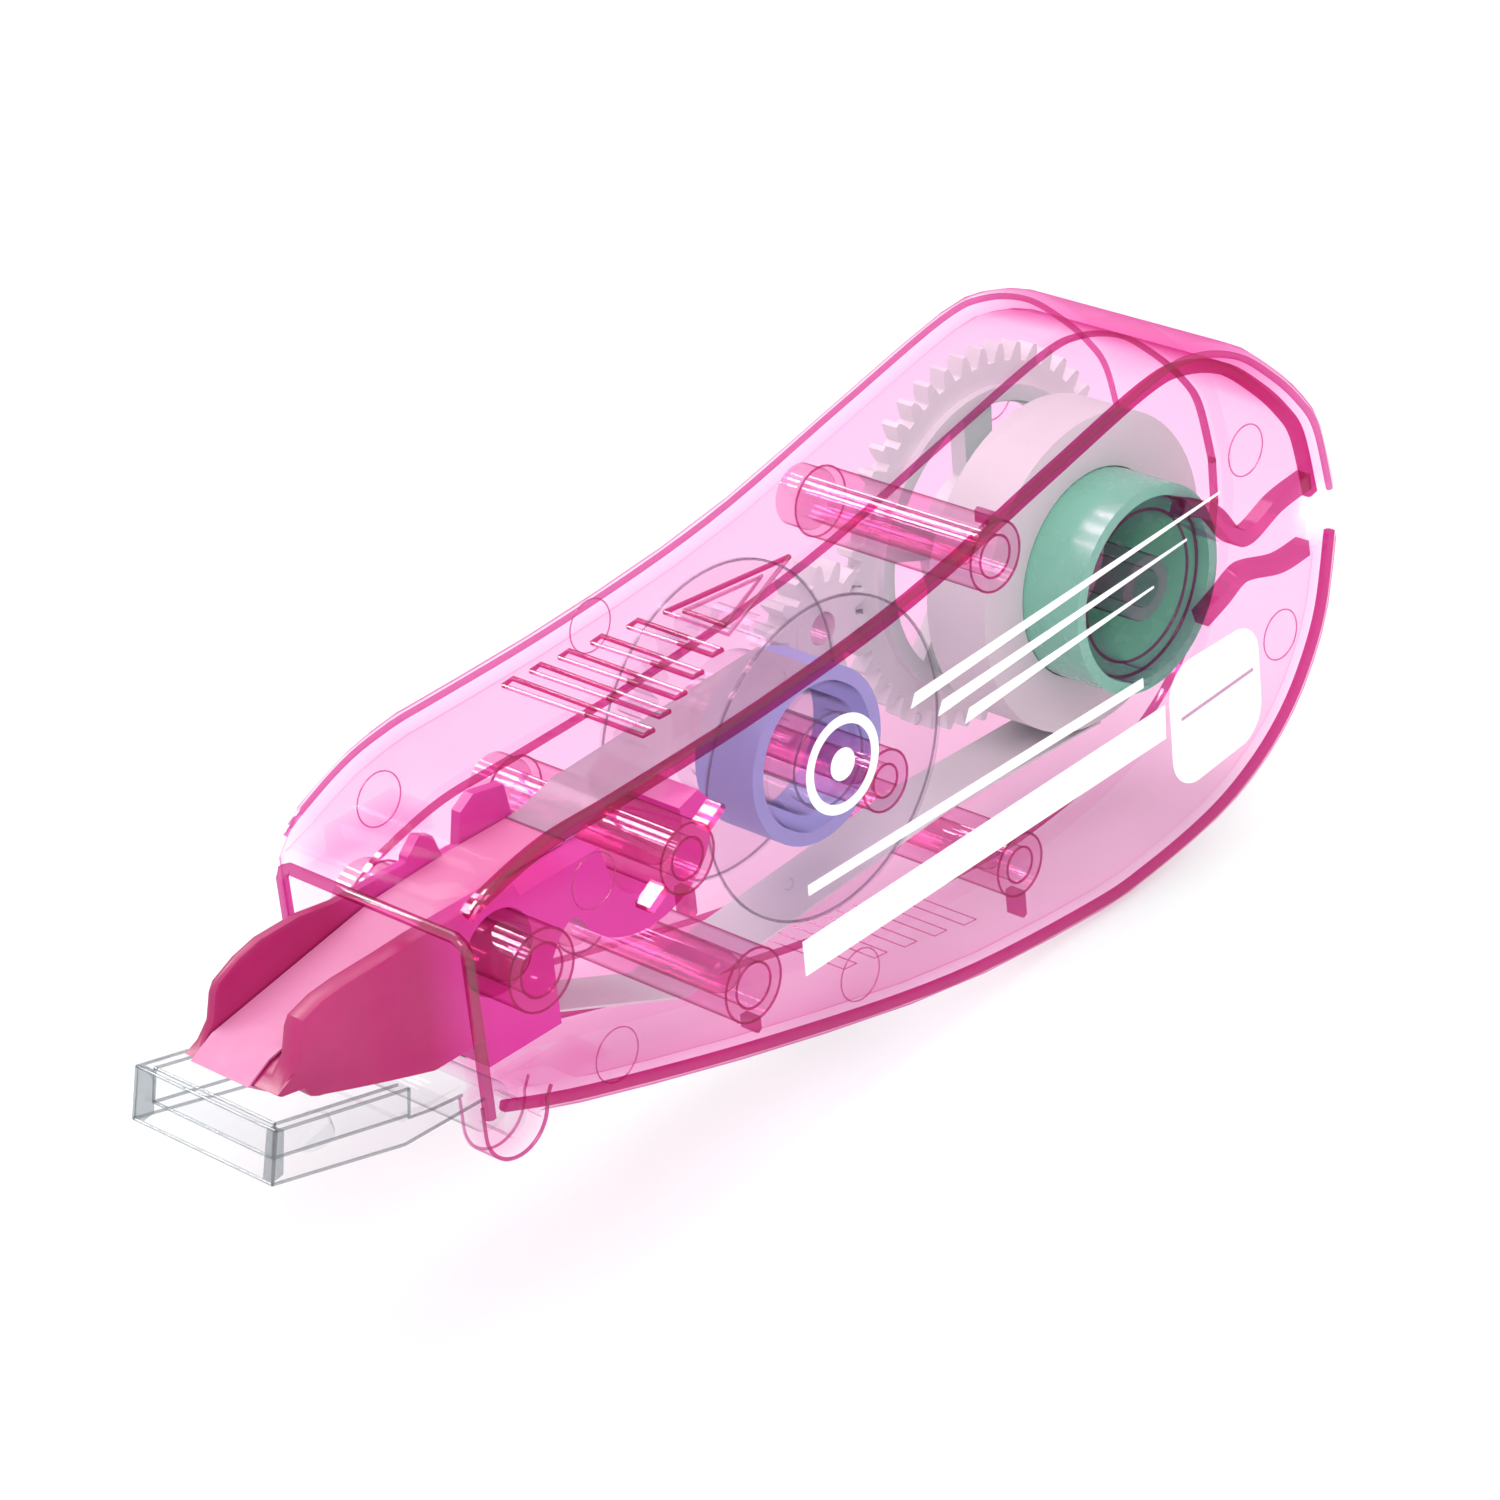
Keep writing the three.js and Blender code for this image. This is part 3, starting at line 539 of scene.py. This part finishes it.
# Each post is a tube on the printed side, and its pin comes from the geared side. Listed as (x, z, radius).
POSTS = {"top": (9.8, 9.0, 2.0), "takeup": (0.0, 0.0, 1.75), "rear": (9.8, -9.8, 1.85),
         "guide": (-14.7, 2.35, 1.95), "front": (-11.1, -6.95, 2.1), "head": (-25.3, 1.07, 2.25)}
POST_END = {n: 5.6 if n == "head" else 6.4 for n in POSTS}
POST_WALL = 0.85
POST_GAP = 0.03  # clearance between the posts and the shells' walls
HEAD_STEP = 1.05  # the head's pin stands this far off the geared side's wall
POST_EASE, TIP_EASE = 0.12, 0.1
for n, (x, z, radius) in POSTS.items():
    bore, y0, y1 = radius - POST_WALL, NEAR + WALL + POST_GAP, POST_END[n]
    wall = FAR - WALL - (HEAD_STEP if n == "head" else POST_GAP)
    turned_piece(f"post_tube_{n}", x, z, [
        (bore, y0 + POST_EASE), (bore + POST_EASE, y0), (radius - POST_EASE, y0), (radius, y0 + POST_EASE),
        (radius, y1 - TIP_EASE), (radius - TIP_EASE, y1), (bore + TIP_EASE, y1), (bore, y1 - TIP_EASE)],
        post_mat, f"post_{n}", "clear_pink_posts")
    pin = bore - 0.07
    # From the domed tip, along the pin, over the root's shoulder to the wall.
    turned_piece(f"post_pin_{n}", x, z, [
        (0.01, y0 + 1.6), (0.5 * pin, y0 + 1.68), (0.85 * pin, y0 + 1.95), (pin, y0 + 2.5), (pin, y1 + 0.35),
        (radius - 0.35, y1 + 0.35), (radius - 0.25, y1 + 0.45), (radius - 0.25, wall), (0.01, wall)],
        post_mat, f"pin_{n}", "clear_pink_posts")
ends = []
for x, z, radius in POSTS.values():
    ends += [(x, NEAR + WALL + 0.1, z, radius - 0.03), (x, NEAR + WALL + 0.1, z, radius - 0.82)]
hoops("post_end_lips", ends, 0.07, edge_mat, slot="clear_pink_posts")
roots = [(x, POST_END[n], z, radius) for n, (x, z, radius) in POSTS.items()]
hoops("post_root_lips", roots, 0.06, edge_mat, slot="clear_pink_posts")
CORE_X, CORE_Z = 22.99, 1.13
hoops("core_ring_lips", [(CORE_X, -4.4, CORE_Z, 4.38), (CORE_X, -4.4, CORE_Z, 5.22)], 0.09, edge_mat)


def arc(x, z, radius, start, stop, n):
    """Points (x, z) along part of a circle, between two angles in degrees."""
    return [(x + radius * math.cos(math.radians(start + (stop - start) * i / n)),
             z + radius * math.sin(math.radians(start + (stop - start) * i / n))) for i in range(n + 1)]


# Skins of the two S-shaped walls beside the rear notch.
SKIN_HALF, SKIN_Y = 0.48, (-6.2, -5.26)
upper = rounded_line([(25.3, 5.4), (27.9, 4.0), (29.6, 1.9), (31.0, 1.35), (33.6, 2.2), (36.4, 2.5)])
lower = rounded_line([(26.6, -2.1), (28.4, -1.5), (29.9, -0.85), (31.0, -0.9), (33.6, -1.6), (36.0, -1.55)])
for label, line in (("upper", upper), ("lower", lower)):
    rows = (inset_line(line, SKIN_HALF), inset_line(line, -SKIN_HALF))
    pad(f"key_wall_face_{label}", rows, *SKIN_Y, edge_mat)

# Rounded rim of the front opening, up the near side, across the top and down the far side.
RIM_X, RIM_RADIUS = -30.45, 0.34
side_near, side_far = NEAR + 0.5, half_width(-30.6, FAR) - 0.5
rim = [(RIM_X, side_near, -4.6), (RIM_X, side_near, 4.7), (RIM_X, side_near + 0.2, 5.2),
       (RIM_X, side_near + 0.7, 5.45), (RIM_X, side_far - 0.7, 5.45), (RIM_X, side_far - 0.2, 5.2),
       (RIM_X, side_far, 4.7), (RIM_X, side_far, -4.6)]
tubes("opening_rim", [rim], RIM_RADIUS, edge_mat)

# Grip bars on the belly, seen through the walls as thin outlines. They follow the belly's slope.
BELLY_BARS, PITCH, HALF_BAR, BAR_LENGTH, BAR_LINE = 5, 2.15, 0.5, 6.0, 0.04
BELLY_SLOPE, BAR_TILT = 0.13, 0.06
belly_bars = []
for k in range(BELLY_BARS):
    x, y = 8.6 - PITCH * k, -3.2 + 0.25 * k
    z = -13.83 + BELLY_SLOPE * PITCH * k
    belly_bars.append([(x - HALF_BAR, BAR_LENGTH + y, z + BAR_TILT), (x - HALF_BAR, y, z + BAR_TILT),
                       (x + HALF_BAR, y, z - BAR_TILT), (x + HALF_BAR, BAR_LENGTH + y, z - BAR_TILT)])
tubes("belly_grip_lines", belly_bars, BAR_LINE, mark_mat)

# Grip bars and arrow on the top wall, with their turned edges. A bar is (x, first y, last y).
BARS = [(-7.3, -2.2, 3.9), (-9.5, -2.9, 4.4), (-11.5, -3.6, 4.8), (-13.3, -4.2, 5.1), (-15.1, -4.8, 5.3)]
TOP_HALF_BAR = 0.36
SHADED_PART = 0.4  # the edges change shade at this share of a bar's length
deep_edges, pale_edges = [], []
for x, y0, y1 in BARS:
    z = 9.66 + 0.045 * (x + 8.1)
    middle = y0 + SHADED_PART * (y1 - y0)
    front_x, rear_x = x - TOP_HALF_BAR, x + TOP_HALF_BAR
    deep_edges += [[(front_x, y1, z - 0.1), (rear_x, y1, z), (rear_x, middle, z)],
                   [(front_x, middle, z), (front_x, y0, z), (rear_x, y0, z)]]
    pale_edges += [[(rear_x, middle, z), (rear_x, y0, z)], [(front_x, y1, z - 0.1), (front_x, middle, z)]]


def arrow_z(x):
    """The top wall's height along the arrow."""
    return 10.27 + 0.1 * x


def arrow_line(*corners):
    """A line on the top wall through (x, y) corners."""
    return [(x, y, arrow_z(x)) for x, y in corners]


deep_edges += [arrow_line((-5.55, 3.3), (1.8, 1.1)), arrow_line((-4.95, -0.55), (-4.95, 2.45))]
pale_edges += [arrow_line((1.8, 1.1), (-5.55, -1.3), (-5.55, 3.3)),
               arrow_line((-4.95, 2.45), (-0.4, 1.08), (-4.95, -0.5))]
tubes("top_mark_edges", deep_edges, 0.15, deep_mat)
tubes("top_mark_edges_pale", pale_edges, 0.13, mark_mat)

# Pointed fins beside the posts: how far they reach past the post, and their angles round it.
FINS = {"top": (0.7, [90]), "rear": (1.5, [-90]), "guide": (1.5, [30, 210, -90]), "front": (0.8, [-90])}
HALF_FIN, FIN_ROOT, FIN_POINT = 0.25, 0.1, 0.15
FIN_CORNERS = 5
points, faces = [], []
for n, (length, angles) in FINS.items():
    x, z, radius = POSTS[n]
    for angle in angles:
        c, k = math.cos(math.radians(angle)), math.sin(math.radians(angle))
        first = len(points)
        for y in (NEAR + WALL + 0.08, NEAR + WALL + 1.1):
            tip = radius + length
            for d, side in ((radius - FIN_ROOT, -HALF_FIN), (tip - FIN_POINT, -HALF_FIN), (tip, 0.0),
                            (tip - FIN_POINT, HALF_FIN), (radius - FIN_ROOT, HALF_FIN)):
                points.append((x + c * d - k * side, y, z + k * d + c * side))
        near_face = [first + a for a in range(FIN_CORNERS)]
        far_face = [a + FIN_CORNERS for a in near_face]
        faces += [near_face, far_face]
        for a in range(FIN_CORNERS):
            b = (a + 1) % FIN_CORNERS
            faces.append([near_face[a], near_face[b], far_face[b], far_face[a]])
mesh_piece("post_fins", points, faces, edge_mat, slot="clear_pink_posts")

# Edges of the two lugs that carry the cap: the outer and inner faces of each.
HINGE = (-29.0, -5.3)
LUG_RADIUS = 2.1
lug_edges = []
for y in (NEAR + 0.2, -5.5, 5.5, 7.25):
    bend = [(x, y, z) for x, z in arc(HINGE[0], HINGE[1], LUG_RADIUS, 180, 360, 20)]
    lug_edges.append([(HINGE[0] - LUG_RADIUS, y, -3.6)] + bend + [(HINGE[0] + 2.5, y, -4.6)])
tubes("lug_edges", lug_edges[::3], 0.1, edge_mat)
tubes("lug_edges_inner", lug_edges[1:3], 0.08, mark_mat)

# ---- edges of the clear reel and of the cap ----
FLANGE_RADIUS, REEL_LINE = 9.0, 0.075
hoops("reel_edge_lips", [(0.0, -1.78, 0.0, FLANGE_RADIUS), (0.0, -2.08, 0.0, 2.66)], REEL_LINE, wire_mat,
      body="takeup", slot="clear_reel")
hoops("reel_gear_edge_lip", [(0.0, 5.88, 0.0, FLANGE_RADIUS)], REEL_LINE, wire_mat, body="takeup",
      slot="clear_reel")
CAP_Y, CAP_IN = 5.1, 4.38  # half widths of the cap, outside and inside
cap_lines = []
for y in (-CAP_Y, CAP_Y):
    cap_lines += [[(-42.22, y, 0.26), (-33.85, y, -1.73)], [(-42.95, y, -2.38), (-42.22, y, 0.26)],
                  [(-42.95, y, -2.38), (-34.6, y, -4.56), (-29.2, y, -4.75)],
                  [(-33.85, y, -1.73), (-34.1, y, -3.28), (-32.6, y, -3.58), (-30.6, y, -3.82)]]
for y in (-CAP_IN, CAP_IN):
    cap_lines += [[(-41.68, y, 0.12), (-33.95, y, -1.72)], [(-42.12, y, -1.6), (-33.6, y, -3.68)],
                  [(-42.12, y, -1.6), (-41.68, y, 0.12)]]
for x, y, z in ((-42.22, CAP_Y, 0.26), (-42.95, CAP_Y, -2.38), (-41.68, CAP_IN, 0.12),
                (-42.12, CAP_IN, -1.6)):
    cap_lines.append([(x, -y, z), (x, y, z)])
tubes("cap_edge_lips", cap_lines, 0.09, wire_mat, body="cap", slot="clear_cap")
front_wall = ([(-42.9, -2.3), (-42.18, 0.2)], [(-42.2, -2.2), (-41.74, 0.05)])
pad("cap_corner_near", front_wall, -CAP_Y, -CAP_IN, wire_mat, body="cap", slot="clear_cap")
pad("cap_corner_far", front_wall, CAP_IN, CAP_Y, wire_mat, body="cap", slot="clear_cap")

# ---- print: plain shapes ----
PRINT = (NEAR - 0.05, NEAR - 0.005)
RULE_Y = (NEAR - 0.09, NEAR - 0.062)  # the rule lies on top of the badge's ink
EMBLEM_X, EMBLEM_Z = -4.2, 3.3
for label, inner, outer, n in (("ring", 2.2, 2.75, 48), ("dot", 0.02, 0.9, 24)):
    rows = (arc(EMBLEM_X, EMBLEM_Z, inner, 0, 360, n), arc(EMBLEM_X, EMBLEM_Z, outer, 0, 360, n))
    pad(f"print_{label}", rows, *PRINT, ink_mat, slot="white_ink")
# Three thin stripes that rise and narrow towards the rear, as (first x, last x).
STRIPES = ((1.2, 27.0), (3.2, 24.0), (5.2, 21.0))
for k, (x0, x1) in enumerate(STRIPES):
    z0 = 4.6 - 1.35 * k
    rise = 0.055 * (x1 - x0)
    rows = ([(x0, z0 - 0.5), (x1, z0 + rise - 0.12)], [(x0 + 0.4, z0 + 0.25), (x1, z0 + rise)])
    pad(f"print_wave_{k + 1}", rows, *PRINT, ink_mat, slot="white_ink")
rule_mat = solid_plastic("print_rule", rgb("#c79ab8"), rgb("#bf90b0"), rough=0.6)
pad("print_badge_rule", ([(22.6, -6.35), (29.0, -6.0)], [(22.6, -6.15), (29.0, -5.8)]), *RULE_Y, rule_mat,
    slot="white_ink")

# ---- floor, light ----
FLOOR_SIZE, FLOOR_Z = 6.0, -0.00002  # metres; just below the part
bpy.ops.mesh.primitive_plane_add(size=FLOOR_SIZE, location=(0, 0, FLOOR_Z))
floor = bpy.context.object
floor.name = "floor"
m, nt = new_material("floor_pale")
out = add(nt, "ShaderNodeOutputMaterial")
b = add(nt, "ShaderNodeBsdfPrincipled", {"Base Color": (0.90, 0.90, 0.905, 1), "Roughness": 0.9,
                                         "Specular IOR Level": 0.1})
join(nt, b, 0, out, "Surface")
floor.data.materials.append(m)
floor.visible_glossy = False

world = bpy.data.worlds.new("studio")
scene.world = world
world.use_nodes = True
wt = world.node_tree
wt.nodes.clear()
wout = add(wt, "ShaderNodeOutputWorld")
plain = add(wt, "ShaderNodeBackground", {"Color": (1, 1, 1, 1), "Strength": 1.0})
dim = add(wt, "ShaderNodeBackground", {"Color": (0.97, 0.94, 0.97, 1), "Strength": 0.85})
path = add(wt, "ShaderNodeLightPath")
wmix = add(wt, "ShaderNodeMixShader")
join(wt, path, "Is Glossy Ray", wmix, 0)
join(wt, plain, 0, wmix, 1)
join(wt, dim, 0, wmix, 2)
join(wt, wmix, 0, wout, "Surface")


AIM = Vector((0, 0, 0.01))  # the lamps point at the part


def area(name, where, size, power, length=None):
    """A soft lamp, square or as long as given. Sizes are in metres and the power is in watts."""
    data = bpy.data.lights.new(name, "AREA")
    data.energy = power
    data.size = size
    if length:
        data.shape = "RECTANGLE"
        data.size_y = length
    lamp = bpy.data.objects.new(name, data)
    bpy.context.scene.collection.objects.link(lamp)
    lamp.location = where
    lamp.rotation_mode = "QUATERNION"
    lamp.rotation_quaternion = (AIM - Vector(where)).to_track_quat("-Z", "Y")
    return lamp


# Three long soft strips over the far side, mirrored as bands along the posts, as (x, z, width, power).
STRIPS = ((-0.13, 0.67, 0.11, 2.4), (-0.36, 0.57, 0.05, 1.1), (0.12, 0.66, 0.05, 1.1))
STRIP_Y, STRIP_LENGTH = 0.55, 0.36
for number, (x, z, width, power) in enumerate(STRIPS):
    strip = area(f"strip_{number + 1}", (x, STRIP_Y, z), width, power, STRIP_LENGTH)
    strip.visible_diffuse = False
area("key", (-0.25, -0.35, 0.6), 0.35, 1.6)
area("top", (0.15, 0.25, 0.7), 0.5, 1.4)
